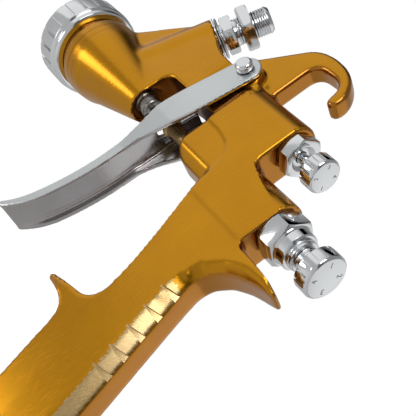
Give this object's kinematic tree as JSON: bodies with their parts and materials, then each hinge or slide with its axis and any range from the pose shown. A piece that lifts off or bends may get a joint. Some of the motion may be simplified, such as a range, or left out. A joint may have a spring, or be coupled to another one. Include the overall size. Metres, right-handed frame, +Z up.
{
  "type": "hvlp spray gun",
  "caption": "Gravity-feed HVLP spray gun with a sprung trigger, hanging hook, air cap ring, needle and pattern knobs, cup nipple and air inlet; no cup or hose.",
  "frame": {"origin": "the point it hangs from, on the underside of the hook, in the middle of its width", "axes": "-X is the spray direction along the needle axis, +X points to the adjusting knobs, +Z is up with the needle level, and y = 0 is the middle plane"},
  "size_m": [0.1805, 0.0392, 0.1884],
  "materials": {
    "anodised_gold": "gold anodised over a fine brushed grain",
    "chrome": "bright plated",
    "stainless": "turned stainless steel",
    "brass": "turned brass",
    "spring_steel": "drawn spring wire",
    "ptfe": "white sealing plastic",
    "rubber": "black seal rubber"
  },
  "bodies": {
    "body": {"gun_body": "anodised_gold", "fluid_nozzle": "stainless", "air_baffle": "brass", "cup_nipple": "chrome", "cup_nipple_washer": "chrome", "cup_lock_nut": "chrome", "needle_packing": "ptfe", "packing_screw": "stainless", "air_valve_gland": "stainless", "shaft_o_ring": "rubber", "air_valve_seat": "brass", "air_valve_spring": "spring_steel", "needle_spring": "spring_steel", "fluid_guide_gasket": "ptfe", "fluid_guide": "chrome", "pattern_guide_gasket": "ptfe", "pattern_guide": "chrome", "trigger_pivot_pin": "chrome", "trigger_pivot_screw": "chrome", "air_inlet_nipple": "chrome", "air_inlet_gasket": "ptfe"},
    "trigger": {"trigger": "chrome"},
    "air_valve": {"air_valve_shaft": "brass", "air_valve_poppet": "brass"},
    "needle": {"fluid_needle": "stainless", "needle_collar": "brass"},
    "fluid_knob": {"fluid_knob": "chrome"},
    "pattern_valve": {"pattern_knob": "chrome", "pattern_stem": "stainless", "pattern_clip": "spring_steel"},
    "cap_ring": {"air_cap_ring": "chrome", "air_cap_clip": "spring_steel"},
    "cap": {"air_cap": "brass"}
  },
  "joints": [
    {"name": "trigger_pull", "type": "hinge", "parent": "body", "child": "trigger", "pos_m": [-0.0201, 0, -0.0213], "axis": [0, -1, 0], "range_deg": [0, 11.5], "stiffness_Nm_per_rad": 2, "springref_deg": -17.19},
    {"name": "air_valve_slide", "type": "slide", "parent": "body", "child": "air_valve", "axis": [1, 0, 0], "range_m": [0, 0.0065], "stiffness_N_per_m": 60, "springref_m": -0.008, "deforming": ["air_valve_spring"]},
    {"name": "needle_slide", "type": "slide", "parent": "body", "child": "needle", "axis": [1, 0, 0], "range_m": [0, 0.0041], "stiffness_N_per_m": 40, "springref_m": -0.01, "deforming": ["needle_spring"]},
    {"name": "fluid_knob_turn", "type": "hinge", "parent": "body", "child": "fluid_knob", "pos_m": [0.0602, 0, -0.0533], "axis": [1, 0, 0], "range_deg": [-135, 990]},
    {"name": "pattern_knob_turn", "type": "hinge", "parent": "body", "child": "pattern_valve", "pos_m": [0.0302, 0, -0.0294], "axis": [1, 0, 0], "range_deg": [-135, 810]},
    {"name": "cap_ring_turn", "type": "hinge", "parent": "body", "child": "cap_ring", "pos_m": [-0.1008, 0, -0.0533], "axis": [-1, 0, 0], "range_deg": [0, 90]},
    {"name": "air_cap_turn", "type": "hinge", "parent": "body", "child": "cap", "pos_m": [-0.1078, 0, -0.0533], "axis": [-1, 0, 0], "range_deg": [-90, 90]}
  ],
  "couplings": [
    {"joint": "air_valve_slide", "follows": "trigger_pull", "m_per_rad": 0.032},
    {"joint": "needle_slide", "follows": "trigger_pull", "m_per_rad": 0.02}
  ]
}
